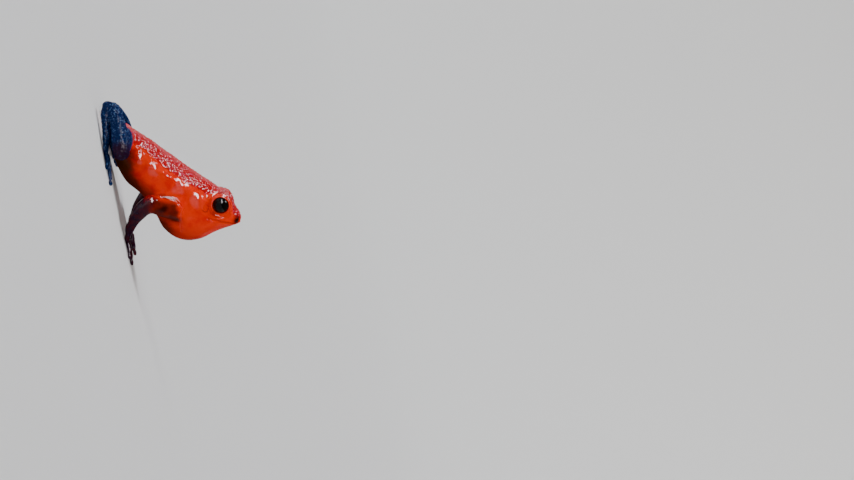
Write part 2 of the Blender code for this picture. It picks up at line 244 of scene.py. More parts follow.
# Heights and sizes of the noise by which edges wander, and for each colour where it
# starts, where it is full, and its share of the noise.
WANDER = [(0.35, 0.8), (0.15, 0.3)]
LEG_EDGE = (0.1, 0.7, 0.7)
HAND_EDGE = (-0.5, 0.7, 1)
# Edges of the painted shade on the upper arm, and of its top at the shoulder.
ARM_EDGE = (-0.5, 0.3, 1)
ARM_TOP = (7.7, 8.5, 1)
BACK_EDGE = (0.1, 0.8, 0.5)
KNEE_EDGE = (1.0, 2.1, 1.5)
# The painted shade of groin, belly, chest, throat and jaw.
PAINTED_SHADE_EDGE = (0.1, 1.2, 0.4)
NOSTRIL_EDGE = (0.15, 1.15, 0.3)
ARM_SPOT_EDGE = (0.1, 0.9, 0.7)
# The painted shade of the upper arm is less on its rear side, which faces the light: where that
# side starts and ends, and how much less.
ARM_SHADE_REAR = (0.3, 0.8)
ARM_SHADE_REAR_LOSS = 0.6
BACK_START = (0.42, 0.8)
BROW_LINE = (-1.3, -0.3)
BROW_LINE_SLOPE = 0.9
# Where the painted shade of the underside starts and where it is full.
UNDERSIDE_SHADE_EDGE = (0.05, 0.95)

# Places of painted shade on the left, in the groin and along belly, chest, throat and jaw:
# middle, half sizes along x, y and z, and depth of shade.
PAINTED_SHADE_PLACES = [
    ((-2.0, 2.4, 1.5), (4.0, 3.6, 2.9), 1.0),
    ((1.6, 1.0, 2.3), (5.4, 4.2, 2.7), 0.75),
    ((9.0, 1.0, 5.4), (3.0, 3.2, 2.2), 0.6),
    ((11.4, 0.0, 9.0), (1.4, 3.0, 3.4), 0.35),
    ((10.7, 0.0, 14.2), (0.9, 2.6, 2.6), 0.25),
    ((8.0, 2.6, 12.9), (0.7, 1.0, 0.9), 0.3),
]

# Painted shade in the grooves of mouth and ears and where the lids meet the eyes, and a dark spot
# on each arm: how dark, how wide and how far out they are.
MOUTH_SHADE = (0.35, 0.12, 0)
EAR_SHADE = (0.35, 0.08, 0.5)
LID_SHADE = (1.10, 1.18)
ARM_SPOT = (5.5, 6.3)
ARM_SPOT_SIZE = (10 / 13, 5 / 4, 4 / 3)
ARM_SPOT_SHADE = 0.85

# How wet the skin is where it shines: swellings in full, and the rest in part.
WET_BACK = 0.5
WET_ARM = 0.8
WET_ARM_REAR = (0.1, 0.6)
WET_SWELLING = (0.8, 2.0)
WET_LINE = (0.45, 0.3, 0)
WET_BROW = 0.8
WET_BROW_MARGIN = 0.5
WET_WANDER = 0.4
DRY = 0.05

# The net of the skin, and how its points are moved: the squared slope at which the field
# is trusted, and the steps and rounds.
VOXEL = 0.13
TRUSTED_SLOPE = (0.3, 0.7)
LEAST_SLOPE = 0.25
CLEFT_TRUST = 0.98
NEAR_LID = 0.4
NEAR_FORM = 0.3
LONGEST_STEP = 0.4
CLOSE_ENOUGH = 0.008
CLEFT_ROUNDS = (25, 10)
ARMPIT_ROUNDS = 12

# Where the net is split once, and where twice: round lines and places, and on the limbs.
FINE = {"mouth": 0.6, "fold": 0.35}
FINEST = {"mouth": 0.26, "nostril": 0.45, "ear": 0.7, "disc": 0.1, "lid": 0.12}
FINE_BACK = 0.02
LEGS_BEHIND = -2.2
LEGS_BESIDE = 2.9
DIGITS_BELOW = 0.75
TOES_X = (-4.6, 2)
FINGERS_X = 7.4

LINE_REACH = 2.0
FAR = 60.0
TINY = 1e-5

FLESH = ["head", "torso"]
for pair in ("upper_arm", "forearm", "hand", "thigh", "shank", "tarsus", "foot"):
    FLESH += [pair + "_left", pair + "_right"]

# Colours, as linear red, green and blue.
CRIMSON = (0.50, 0.001, 0.004, 1)
SCARLET = (0.80, 0.003, 0.0002, 1)
ORANGE = (0.92, 0.026, 0.0002, 1)
# A painted sheen on the grains of the back.
ROSY_SHEEN = (0.72, 0.07, 0.18, 1)
# Painted shade of the underside.
SHADE_TAWNY = (0.20, 0.010, 0.0003, 1)
# Painted shade: rust for the upper arms and for groin, belly, chest, throat and jaw, and olive
# where it is deepest.
SHADE_RUST = (0.065, 0.004, 0.0004, 1)
SHADE_OLIVE = (0.050, 0.012, 0.001, 1)
NAVY = (0.002, 0.010, 0.060, 1)
STEEL = (0.06, 0.13, 0.28, 1)
PLUM = (0.020, 0.003, 0.014, 1)
MAROON = (0.055, 0.005, 0.010, 1)
# Painted shade of the mouth, ear and lid grooves, and the dark marks.
SHADE_AND_MARK_BLACK = (0.014, 0.002, 0.002, 1)
EYE_BLACK = (0.001, 0.001, 0.002, 1)
EYE_BROWN = (0.003, 0.002, 0.002, 1)
EYE_BRONZE = (0.012, 0.006, 0.003, 1)
FLOOR_GREY = (0.78, 0.78, 0.77, 1)

# The photo's view: its azimuth, elevation and roll, and the middle of the picture, to the
# right and up in the plane through the frog.
CAMERA_TURNS = (-11, 1, 78)
CAMERA_TARGET = (18.18, 41.1)
PICTURE_WIDTH = 854
PIXELS_PER_MM = 7.15
LENS = 200
SENSOR = 36
CLIP = (0.01, 50)

# The floor in metres: radii of its flat part, and the radius in which its rim curves up.
FLOOR_RADII = (0.25, 0.5, 1.2)
FLOOR_CURVE = 0.5
FLOOR_STEPS = 12
FLOOR_SIDES = 96
STUDIO_GLOW = 0.12

# Far softboxes: name, where from, width in degrees, strength, colour, whether it lights
# the colours, and whether the wet skin and the eyes mirror it.
LIGHTS = [
    ("key", (-0.95, -0.16, 0.16), 26, 3.2, (1.0, 0.97, 0.95), True, True),
    ("top", (-0.35, 0.20, 0.91), 18, 2.2, (0.92, 0.95, 1.0), True, True),
    ("rim", (-0.40, 0.80, 0.42), 30, 0.35, (1.0, 0.80, 0.90), True, True),
    ("fill", (0.15, -0.90, 0.40), 140, 1.5, (1.0, 0.98, 0.96), True, False),
    ("card", (-0.80, -0.52, 0.26), 46, 17.0, (1.0, 0.92, 0.97), False, True),
    ("sky", (-0.96, -0.02, 0.14), 44, 9.0, (0.88, 0.92, 1.0), False, True),
]


def linked(name, data):
    """A new object of the scene that holds the data."""
    made = bpy.data.objects.new(name, data)
    bpy.context.scene.collection.objects.link(made)
    return made


def from_bmesh(name, bm):
    """A new object that holds the bmesh."""
    bmesh.ops.recalc_face_normals(bm, faces=bm.faces)
    mesh = bpy.data.meshes.new(name)
    bm.to_mesh(mesh)
    bm.free()
    return linked(name, mesh)


def circle(count):
    """The cosine and the sine of each of so many even turns."""
    turns = [2 * math.pi * k / count for k in range(count)]
    return [(math.cos(turn), math.sin(turn)) for turn in turns]


def resampled(rows, count):
    """Rows of numbers at even steps along a smooth curve through the given rows."""
    last = len(rows) - 1
    found = []
    for i in range(count):
        place = i * last / (count - 1)
        k = min(int(place), last - 1)
        u = place - k
        before = rows[max(k - 1, 0)]
        after = rows[min(k + 2, last)]
        row = []
        for a, b, c, d in zip(before, rows[k], rows[k + 1], after):
            bend = 2 * a - 5 * b + 4 * c - d + u * (3 * (b - c) + d - a)
            row.append(b + 0.5 * u * (c - a + u * bend))
        found.append(row)
    return found


def domed(ring, tip, steps):
    """Rings that round off the end of a loft towards its tip."""
    centre = sum(ring, Vector()) / len(ring)
    rings = []
    for k in range(1, steps + 1):
        angle = k / (steps + 1) * math.pi / 2
        moved = centre.lerp(tip, math.sin(angle))
        rings.append([moved + (p - centre) * math.cos(angle) for p in ring])
    return rings


def lofted(name, rings, tips, dome_steps):
    """A closed loft through the rings, ended by a point at each tip."""
    start = domed(rings[0], tips[0], dome_steps)[::-1]
    rings = start + rings + domed(rings[-1], tips[1], dome_steps)
    bm = bmesh.new()
    loops = [[bm.verts.new(p) for p in ring] for ring in rings]
    sides = len(loops[0])
    for one, two in zip(loops, loops[1:]):
        for k in range(sides):
            j = (k + 1) % sides
            bm.faces.new((one[k], one[j], two[j], two[k]))
    for loop, tip in ((loops[0], tips[0]), (loops[-1], tips[1])):
        point = bm.verts.new(tip)
        for k in range(sides):
            bm.faces.new((loop[k], loop[(k + 1) % sides], point))
    return from_bmesh(name, bm)


def body(name):
    """The loft of torso and head."""
    rings = []
    for top_x, top_z, under_x, under_z, half_width, level in resampled(BODY, BODY_STEPS):
        top = Vector((top_x, 0, top_z))
        under = Vector((under_x, 0, under_z))
        widest = top.lerp(under, level)
        ring = []
        for upward, across in circle(BODY_SIDES):
            reach = top - widest if upward > 0 else widest - under
            ring.append(widest + reach * upward + Vector((0, half_width * across, 0)))
        rings.append(ring)
    return lofted(name, rings, (Vector(RUMP), Vector(SNOUT)), 0)


def tube(name, joints, sides=36, steps=40, dome_steps=10):
    """A round-ended tube of flesh through the joints."""
    rows = resampled(joints, steps)
    points = [Vector(row[:3]) for row in rows]
    rings = []
    for i, row in enumerate(rows):
        along = (points[min(i + 1, steps - 1)] - points[max(i - 1, 0)]).normalized()
        across = along.cross(Vector((0, 0, 1))).normalized()
        rise = across.cross(along)
        ring = []
        for out, up in circle(sides):
            ring.append(points[i] + across * row[3] * out + rise * row[4] * up)
        rings.append(ring)
    tips = []
    for end, inner in ((0, 1), (-1, -2)):
        away = (points[end] - points[inner]).normalized()
        tips.append(points[end] + away * min(rows[end][3:]))
    return lofted(name, rings, tips, dome_steps)


def ball(name, place, radius, height=None, axis=(0, 0, 1), rings=32):
    """A closed sphere, or an ellipsoid of its own height along the axis."""
    bm = bmesh.new()
    bmesh.ops.create_uvsphere(bm, u_segments=2 * rings, v_segments=rings, radius=radius)
    turn = Vector((0, 0, 1)).rotation_difference(Vector(axis)).to_matrix().to_4x4()
    stretch = Matrix.Diagonal((1, 1, (height or radius) / radius, 1))
    bm.transform(Matrix.Translation(place) @ turn @ stretch)
    return from_bmesh(name, bm)


def on_side(joints, side, start=0.0, end=0.0, drop=0.0):
    """Joints given on the left, put on the side. The left ones move ahead and down."""
    moved = []
    for i, (x, y, z, *rest) in enumerate(joints):
        if side > 0:
            part = i / (len(joints) - 1)
            x += start * (1 - part) + end * part
            z -= drop
        moved.append((x, y * side, z, *rest))
    return moved


def mirrored(place, side):
    """A place given on the left, put on the side."""
    return (place[0], place[1] * side, place[2])


def palm_and_sole(side):
    """Joints, digits and turn of one hand and one foot."""
    splay = LEFT_SPLAY if side > 0 else 0
    palm = on_side(PALM, side, HAND_STRIDE, HAND_STRIDE)
    sole = on_side(SOLE, side, LEG_STRIDE, LEG_STRIDE)
    return (palm, FINGERS, HAND_TURN + splay), (sole, TOES, FOOT_TURN + splay)


def digit_root(joints, angle, turn, side):
    """Where a digit starts, and the level way in which it points."""
    aim = math.radians(turn + angle)
    across = joints[-1][3] * ROOT_SPREAD * math.sin(math.radians(angle)) * side
    root = Vector(joints[-1][:3]) + Vector((ROOT_AHEAD * math.cos(aim), across, 0))
    return root, Vector((math.cos(aim), math.sin(aim) * side, 0))


def digits(joints, rows, turn, side):
    """The fingers or toes of one hand or foot, each a shaft and a disc."""
    ground = DISC_HEIGHT / 2
    width = DIGIT_HALF_WIDTH
    made = []
    for angle, length, disc in rows:
        root, ahead = digit_root(joints, angle, turn, side)
        tip = Vector((root.x, root.y, 0)) + ahead * length
        middle = root.lerp(tip, 0.5)
        bends = [
            (root.x, root.y, root.z, width, width),
            (middle.x, middle.y, DIGIT_ARCH, width, width),
            (tip.x, tip.y, ground, width * DIGIT_TIP, ground * DIGIT_TIP),
        ]
        shaft = []
        for i, (x, y, z, wide, high) in enumerate(resampled(bends, DIGIT_ROWS)):
            share = i / (DIGIT_ROWS - 1)
            swollen = 1 + KNUCKLE * sum(swell(share - k, KNUCKLE_REACH) for k in KNUCKLES)
            swollen -= KNUCKLE * (SHAFT_SLIM + swell(share - DIGIT_WAIST, KNUCKLE_REACH))
            shaft.append((x, y, z, wide * swollen, high * swollen))
        made.append(tube("digit", shaft, sides=20, steps=30, dome_steps=5))
        made.append(ball("disc", (tip.x, tip.y, ground), disc, DISC_SINK + ground, rings=16))
    return made


def disc_places():
    """The middle of every disc, the way in which it points, and its radius."""
    found = []
    for side in (1, -1):
        for joints, rows, turn in palm_and_sole(side):
            for angle, length, disc in rows:
                root, ahead = digit_root(joints, angle, turn, side)
                middle = root + ahead * length
                found.append((np.array((middle.x, middle.y, 0)), np.array(ahead), disc))
    return found


def flesh():
    """Every form of the skin in the order of fusing: object, blend and kind."""
    forms = [(body("body"), 0, "red")]
    for side in (1, -1):
        brow = ball("brow", mirrored(BROW_PLACE, side), BROW_RADIUS)
        forms.append((brow, BLENDS["brow"], "red"))
        hand, foot = palm_and_sole(side)
        arm = [
            ("upper_arm", on_side(UPPER_ARM, side), "arm"),
            ("forearm", on_side(FOREARM, side, 0, HAND_STRIDE), "purple"),
            ("palm", hand[0], "purple"),
        ]
        leg = [
            ("thigh", on_side(THIGH, side, 0, LEG_STRIDE, LEG_DROP), "blue"),
            ("shank", on_side(SHANK, side, LEG_STRIDE, LEG_STRIDE, LEG_DROP), "blue"),
            ("tarsus", on_side(TARSUS, side, LEG_STRIDE, LEG_STRIDE), "blue"),
            ("sole", foot[0], "blue"),
        ]
        for limb, end, kind in ((arm, hand, "purple"), (leg, foot, "blue")):
            for name, joints, colour in limb:
                forms.append((tube(name, joints), BLENDS[name], colour))
            for form in digits(*end, side):
                forms.append((form, BLENDS["digit"], kind))
    return forms


def applied(shape):
    """Replaces the mesh of the shape by the one that its modifiers make."""
    depsgraph = bpy.context.evaluated_depsgraph_get()
    mesh = bpy.data.meshes.new_from_object(shape.evaluated_get(depsgraph))
    shape.modifiers.clear()
    shape.data = mesh


def remeshed(shape):
    """Covers the shape with one even net of quads."""
    change = shape.modifiers.new("net", "REMESH")
    change.mode = "VOXEL"
    change.voxel_size = VOXEL
    applied(shape)


def fused(forms, trees):
    """One closed net round all forms, with sockets for the eyes and flat on the floor."""
    bm = bmesh.new()
    for form, _, _ in forms:
        bm.from_mesh(form.data)
    skin = from_bmesh("skin", bm)
    remeshed(skin)
    fitted(skin, trees, 0)
    below = bmesh.new()
    bmesh.ops.create_cube(below, size=FAR)
    below.transform(Matrix.Translation((0, 0, -FAR / 2)))
    cutters = [from_bmesh("below", below)]
    for side in (1, -1):
        cutters.append(ball("socket", mirrored(EYE_PLACE, side), EYE_RADIUS + SOCKET_GAP))
    for cutter in cutters:
        change = skin.modifiers.new("cut", "BOOLEAN")
        change.operation = "DIFFERENCE"
        change.object = cutter
        change.solver = "MANIFOLD"
        applied(skin)
        bpy.data.objects.remove(cutter)
    remeshed(skin)
    return skin


def tree_of(shape):
    """The faces of the shape, sorted for finding the nearest."""
    return BVHTree.FromObject(shape, bpy.context.evaluated_depsgraph_get())


def form_field(points, tree):
    """Signed distance from one form, and the direction in which it grows."""
    value = np.zeros(len(points))
    ways = np.zeros((len(points), 3))
    for i, point in enumerate(points.tolist()):
        place, normal, _, distance = tree.find_nearest(point)
        away = Vector(point) - place
        sign = 1.0 if away.dot(normal) > 0 else -1.0
        value[i] = sign * distance
        ways[i] = away * (sign / distance) if distance > TINY else normal
    return value, ways


def round_eye(points, side):
    """Height along the axis of one eye, distance from the axis, the axis, and the way out."""
    axis = np.array(Vector(mirrored(EYE_AXIS, side)).normalized())
    away = points - np.array(mirrored(EYE_PLACE, side))
    height = away @ axis
    flat = away - height[:, None] * axis
    radius = np.maximum(np.linalg.norm(flat, axis=1), TINY)
    return height, radius, axis, flat / radius[:, None]


def lid_field(points, side):
    """Signed distance from the lid of one eye, and the direction in which it grows."""
    height, radius, axis, out = round_eye(points, side)
    across = (radius - LID_RADIUS)[:, None] * out + (height - LID_LEVEL)[:, None] * axis
    length = np.maximum(np.linalg.norm(across, axis=1), TINY)
    thick = LID_THICK + LID_SWELL * out[:, 2]
    return length - thick, across / length[:, None]


def bevel_field(points, side):
    """How far each point rises above the cone round an eye, and the way up."""
    height, radius, axis, out = round_eye(points, side)
    beyond = np.maximum(radius - LID_REACH, 0)
    cone = LID_LEVEL + LID_SLOPE * (radius - LID_RADIUS) + LID_STEEPER * beyond
    steep = np.where(beyond > 0, LID_SLOPE + LID_STEEPER, LID_SLOPE)
    size = np.sqrt(1 + steep**2)
    return (height - cone) / size, (axis - steep[:, None] * out) / size[:, None]


def rounder(total, slope, value, ways, blend):
    """The smooth minimum of two fields."""
    share = np.clip(0.5 + 0.5 * (total - value) / blend, 0, 1)
    total = total * (1 - share) + value * share - blend * share * (1 - share)
    return total, slope * (1 - share)[:, None] + ways * share[:, None]


def sharper(total, slope, value, ways, blend):
    """The smooth maximum of two fields."""
    total, slope = rounder(-total, -slope, -value, -ways, blend)
    return -total, -slope


def field(points, trees):
    """The blended field of all forms, its slope, and the distance from each kind."""
    total = np.full(len(points), FAR)
    nearest = {kind: np.full(len(points), FAR) for *_, kind in trees}
    slope = np.zeros((len(points), 3))
    for tree, blend, low, high, kind in trees:
        reach = blend + NEAR_FORM
        near = np.flatnonzero(np.all((points > low - reach) & (points < high + reach), axis=1))
        value, ways = form_field(points[near], tree)
        nearest[kind][near] = np.minimum(nearest[kind][near], value)
        if blend > 0:
            value, ways = rounder(total[near], slope[near], value, ways, blend)
        total[near] = value
        slope[near] = ways
    for side in (1, -1):
        total, slope = sharper(total, slope, *bevel_field(points, side), BLENDS["hollow"])
        total, slope = rounder(total, slope, *lid_field(points, side), BLENDS["lid"])
        away = points - np.array(mirrored(EYE_PLACE, side))
        length = np.linalg.norm(away, axis=1)
        ways = -away / np.maximum(length, TINY)[:, None]
        socket = EYE_RADIUS + SOCKET_GAP - length
        total, slope = sharper(total, slope, socket, ways, BLENDS["socket"])
    down = np.broadcast_to(np.array((0.0, 0.0, -1.0)), points.shape)
    return *sharper(total, slope, -points[:, 2], down, BLENDS["floor"]), nearest


def off_lids(points):
    """Signed distance of each point from the nearer lid."""
    return np.minimum(lid_field(points, 1)[0], lid_field(points, -1)[0])


def drawn_on(points, trees, rounds=4):
    """The points moved onto the blended surface, and which of them lie in a cleft.

    In a cleft the slopes of two forms cancel, so its points are left to be relaxed.
    """
    points = points.copy()
    cleft = np.zeros(len(points), bool)
    left = np.arange(len(points))
    for _ in range(rounds):
        total, slope, _ = field(points[left], trees)
        steep = (slope**2).sum(axis=1)
        sure = np.where(off_lids(points[left]) < NEAR_LID, 1, eased(steep, *TRUSTED_SLOPE))
        step = slope * (total * sure / np.maximum(steep, LEAST_SLOPE))[:, None]
        length = np.maximum(np.linalg.norm(step, axis=1), TINY)
        points[left] -= step * np.minimum(1, LONGEST_STEP / length)[:, None]
        cleft[left] = sure < CLEFT_TRUST
        left = left[np.abs(total * sure) > CLOSE_ENOUGH]
    return points, cleft


def relaxed(mesh, points, rounds, only=None):
    """The points, or only some, drawn towards the middle of their neighbours."""
    ends = np.zeros(len(mesh.edges) * 2, np.int64)
    mesh.edges.foreach_get("vertices", ends)
    one, two = ends[0::2], ends[1::2]
    count = np.bincount(ends, minlength=len(points))
    for _ in range(rounds):
        total = np.zeros_like(points)
        for axis in range(3):
            total[:, axis] += np.bincount(one, points[two, axis], len(points))
            total[:, axis] += np.bincount(two, points[one, axis], len(points))
        moved = 0.5 * points + 0.5 * total / count[:, None]
        points = moved if only is None else np.where(only[:, None], moved, points)
    return points


def fitted(skin, trees, rounds):
    """Draws the skin onto the blended surface, smooth across every cleft."""
    mesh = skin.data
    points, cleft = drawn_on(vertex_rows(mesh, "co"), trees)
    points = relaxed(mesh, points, CLEFT_ROUNDS[0], cleft)
    if rounds:
        points, cleft = drawn_on(relaxed(mesh, points, rounds), trees)
        points = relaxed(mesh, points, CLEFT_ROUNDS[1], cleft)
    move_vertices(mesh, points)


def vertex_rows(mesh, name):
    """The places or the normals of the vertices, as rows of x, y and z."""
    flat = np.zeros(len(mesh.vertices) * 3)
    mesh.vertices.foreach_get(name, flat)
    return flat.reshape(-1, 3)


def move_vertices(mesh, points):
    """Puts the vertices at the points."""
    mesh.vertices.foreach_set("co", points.ravel())
    mesh.update()


def to_row_frame(shape):
    """Brings a finished shape from millimetres to metres, centred over the origin."""
    shape.data.transform(Matrix.Scale(MM, 4) @ Matrix.Translation(-Vector(CENTRE)))
    shape.data.update()


def landing(tree, x, z, side):
    """Where a level ray from the side meets the skin."""
    place, _, _, _ = tree.ray_cast(Vector((x, FAR * side, z)), Vector((0, -side, 0)))
    return np.array(place)


def drawn_line(tree, rows, side, count=40):
    """A smooth line on the skin through the given x and z, on one side."""
    return np.array([landing(tree, x, z, side) for x, z in resampled(rows, count)])


def mouth_line(tree):
    """The line of the mouth, where its plane meets the skin."""
    middle = Vector(MOUTH_MIDDLE)
    ahead = (Vector(MOUTH_FRONT) - middle).normalized()
    line = []
    for k in range(MOUTH_STEPS):
        angle = math.radians(MOUTH_SWEEP * (2 * k / (MOUTH_STEPS - 1) - 1))
        out = ahead * math.cos(angle) + Vector((0, math.sin(angle), 0))
        place, _, _, _ = tree.ray_cast(middle, out)
        line.append(place)
    return np.array(line)


def folded(points):
    """The points of both sides as they lie on the left."""
    return np.column_stack((points[:, 0], np.abs(points[:, 1]), points[:, 2]))


def off_place(points, place, size=1.0):
    """Distance of each point from the place, measured in its size."""
    return np.linalg.norm((points - place) / size, axis=1)


def off_line(points, line):
    """Distance of each point from the line, up to a reach, and its share of the line."""
    low = line.min(0) - LINE_REACH
    high = line.max(0) + LINE_REACH
    near = np.flatnonzero(np.all((points > low) & (points < high), axis=1))
    some = points[near]
    best = np.full(len(near), LINE_REACH)
    where = np.zeros(len(near))
    for k, (a, b) in enumerate(zip(line, line[1:])):
        step = b - a
        part = np.clip((some - a) @ step / max(step @ step, TINY), 0, 1)
        distance = np.linalg.norm(some - a - part[:, None] * step, axis=1)
        closer = distance < best
        best[closer] = distance[closer]
        where[closer] = (k + part[closer]) / (len(line) - 1)
    found = np.full(len(points), LINE_REACH)
    share = np.zeros(len(points))
    found[near] = best
    share[near] = where
    return found, share


def swell(distance, width):
    """1 at no distance, falling smoothly to nothing a few widths away."""
    return np.exp(-((distance / width) ** 2))


def eased(value, start, end):
    """A smooth step of the value, from 0 at start to 1 at end."""
    part = np.clip((value - start) / (end - start), 0, 1)
    return part * part * (3 - 2 * part)


class Marks:
    """The lines and places on the skin that its small forms follow."""

    def __init__(self, tree):
        sides = (1, -1)
        self.mouth = mouth_line(tree)
        self.nostrils = [landing(tree, *NOSTRIL, side) for side in sides]
        self.ears = [landing(tree, *EAR, side) for side in sides]
        self.spots = [landing(tree, *ARM_SPOT, side) for side in sides]
        self.ridges = [drawn_line(tree, FLANK_RIDGE, side) for side in sides]
        self.folds = [drawn_line(tree, SHOULDER_FOLD, side) for side in sides]
        self.edges = [drawn_line(tree, SNOUT_EDGE, side) for side in sides]
        self.swellings = []
        for x, z, reach, height in SWELLINGS:
            for side in sides:
                self.swellings.append((landing(tree, x, z, side), reach, height))
        self.discs = disc_places()


def over_mouth(points):
    """How far each point lies over the plane of the mouth."""
    ahead = np.subtract(MOUTH_FRONT, MOUTH_MIDDLE)
    over = np.array((-ahead[2], 0, ahead[0])) / np.linalg.norm(ahead)
    return (points - MOUTH_MIDDLE) @ over


def edged(value, wander, edge):
    """A smooth step of the value across an edge that wanders."""
    start, end, share = edge
    return eased(value + share * wander, start, end)


def backness(normals):
    """How far each point belongs to the upper side of body and head, from 0 to 1."""
    return eased(0.8 * normals[:, 2] - 0.6 * normals[:, 0], *BACK_START)


def ahead_of(points, place):
    """How far each point lies ahead of the place, from 0 to 1."""
    return eased(points[:, 0] - place[0], *EAR_FRONT)


def fine_places(points, normals, marks):
    """How finely the net is split at each point: 0, 1 or 2 times."""
    x, y, z = points.T
    mouth, _ = off_line(points, marks.mouth)
    fine = (mouth < FINE["mouth"]) | (backness(normals) > FINE_BACK)
    fine |= (x < LEGS_BEHIND) & (np.abs(y) > LEGS_BESIDE)
    fine |= (z < DIGITS_BELOW) & (((x > TOES_X[0]) & (x <= TOES_X[1])) | (x > FINGERS_X))
    for fold in marks.folds:
        fine |= off_line(points, fold)[0] < FINE["fold"]
    finest = (mouth < FINEST["mouth"]) | (off_lids(points) < FINEST["lid"])
    for place in marks.nostrils:
        finest |= off_place(points, place) < FINEST["nostril"]
    for place in marks.ears:
        finest |= off_place(points, place) < FINEST["ear"]
    for place, _, radius in marks.discs:
        finest |= off_place(points, place) < radius + FINEST["disc"]
    return np.where(finest, 2, np.where(fine, 1, 0))


def refine(skin, marks, level):
    """Splits the faces that need this level of fineness into four."""
    mesh = skin.data
    depth = fine_places(vertex_rows(mesh, "co"), vertex_rows(mesh, "normal"), marks)
    bm = bmesh.new()
    bm.from_mesh(mesh)
    wanted = [f for f in bm.faces if max(depth[v.index] for v in f.verts) >= level]
    edges = {e for f in wanted for e in f.edges}
    bmesh.ops.subdivide_edges(bm, edges=list(edges), cuts=1, use_grid_fill=True)
    bmesh.ops.triangulate(bm, faces=[f for f in bm.faces if len(f.verts) > 4])
    bm.to_mesh(mesh)
    bm.free()


def formed(distance, form):
    """The height of a small form at each distance from its line or place."""
    height, width, crest = form
    return height * swell(distance - crest, width)


def mouth_relief(points, line):
    """The lips, fuller above, and the groove between them, fading at the corners."""
    distance, share = off_line(points, line)
    ends = eased(0.5 - np.abs(share - 0.5), 0, MOUTH_END)
    height = LIP_HEIGHT + UPPER_LIP * eased(over_mouth(points), *LIP_TURN)
    depth = CORNER_DEPTH + (1 - CORNER_DEPTH) * ends
    return height * swell(distance, LIP_WIDTH) * ends + formed(distance, MOUTH_GROOVE) * depth


def ear_relief(points, place):
    """The low ring of one ear, its sunken drum, and a groove ahead of it."""
    distance = off_place(points, place)
    drum = EAR_DRUM_DEPTH * (1 - eased(distance, *EAR_DRUM))
    groove = formed(distance, EAR_GROOVE) * ahead_of(points, place)
    return formed(distance, EAR_RIM) + groove - drum


def disc_relief(points, normals, place, ahead, radius):
    """The groove along the top of one disc, and the pad on either side of it."""
    away = points - place
    across = np.abs(away[:, 0] * ahead[1] - away[:, 1] * ahead[0]) / radius
    on_top = eased(normals[:, 2], *DISC_TOP) * eased(away @ ahead / radius, *DISC_BACK)
    near = off_place(points, place) < radius + DISC_MARGIN
    return near * on_top * (formed(across * radius, DISC_GROOVE) + formed(across, DISC_PADS))


def relief(points, normals, marks):
    """How far each point is raised for the small forms."""
    raised = mouth_relief(points, marks.mouth)
    for place in marks.nostrils:
        distance = off_place(points, place)
        raised += formed(distance, NOSTRIL_RIM) + formed(distance, NOSTRIL_PIT)
    for place in marks.ears:
        raised += ear_relief(points, place)
    for place, reach, height in marks.swellings:
        raised += height * swell(off_place(points, place), reach)
    for lines, form in ((marks.ridges, FLANK_RISE), (marks.edges, SNOUT_RISE)):
        for line in lines:
            distance, share = off_line(points, line)
            raised += formed(distance, form) * np.sin(math.pi * share)
    for line in marks.folds:
        distance, share = off_line(points, line)
        fold = formed(distance, FOLD_RISE) + formed(distance, FOLD_GROOVE)
        raised += fold * np.sin(math.pi * share) ** 0.5
    for disc in marks.discs:
        raised += disc_relief(points, normals, *disc)
    return raised


def wrinkled(points):
    """Fine creases of the chest, which run up towards the shoulder."""
    x, z = WRINKLE_PLACE
    away = np.hypot(points[:, 0] - x, points[:, 2] - z)
    waver = WRINKLE_WAVER * unevenness(points, WAVER_SIZE)
    wave = (points[:, 0] + WRINKLE_SLANT * points[:, 2] + waver) / WRINKLE_SPACING
    return WRINKLE_HEIGHT * (1 - eased(away, *WRINKLE_FADE)) * np.sin(2 * math.pi * wave)


def granules(points, size):
    """Rounded grains side by side: 1 at the middle of each, 0 between them."""
    found = np.zeros(len(points))
    for i, point in enumerate((points / size).tolist()):
        found[i] = noise.voronoi(point)[0][0]
    return 1 - np.clip(found / GRAIN_SPREAD, 0, 1) ** 2


def unevenness(points, size):
    """Smooth noise from -1 to 1."""
    return np.array([noise.noise(point) for point in (points / size).tolist()])


def store(mesh, fields):
    """Keeps one number for each vertex under each name."""
    for name, values in fields.items():
        attribute = mesh.attributes.new(name, "FLOAT", "POINT")
        attribute.data.foreach_set("value", values.astype(np.float32))


def limb_fields(points, normals, nearest, wander):
    """How far each point belongs to leg and hand, how far the upper arm is painted in shade, less
    on its rear side which faces the light, and how far it belongs to none of them.
    """
    leg = edged(nearest["red"] - nearest["blue"], wander, LEG_EDGE)
    other = np.minimum(np.minimum(nearest["red"], nearest["arm"]), nearest["blue"])
    hand = edged(other - nearest["purple"], wander, HAND_EDGE)
    arm = edged(nearest["red"] - nearest["arm"], wander, ARM_EDGE)
    arm *= 1 - edged(points[:, 2], wander, ARM_TOP)
    bare = (1 - leg) * (1 - hand) * (1 - arm)
    # Painted shade of the upper arm: none on the leg, and less on the rear side, which faces the
    # light.
    arm *= (1 - leg) * (1 - ARM_SHADE_REAR_LOSS * eased(-normals[:, 0], *ARM_SHADE_REAR))
    return leg, hand, arm, bare


def knee_field(points, wander):
    """How near each point is to a knee."""
    found = np.zeros(len(points))
    for side in (1, -1):
        knee = on_side(SHANK, side, LEG_STRIDE, LEG_STRIDE, LEG_DROP)[0][:3]
        found = np.maximum(found, 1 - edged(off_place(points, knee), wander, KNEE_EDGE))
    return found


def painted_shade_field(points, wander):
    """How deep the painted shade is at each point."""
    found = np.zeros(len(points))
    for place, size, depth in PAINTED_SHADE_PLACES:
        away = off_place(folded(points), place, size)
        found = np.maximum(found, depth * (1 - edged(away, wander, PAINTED_SHADE_EDGE)))
    return found


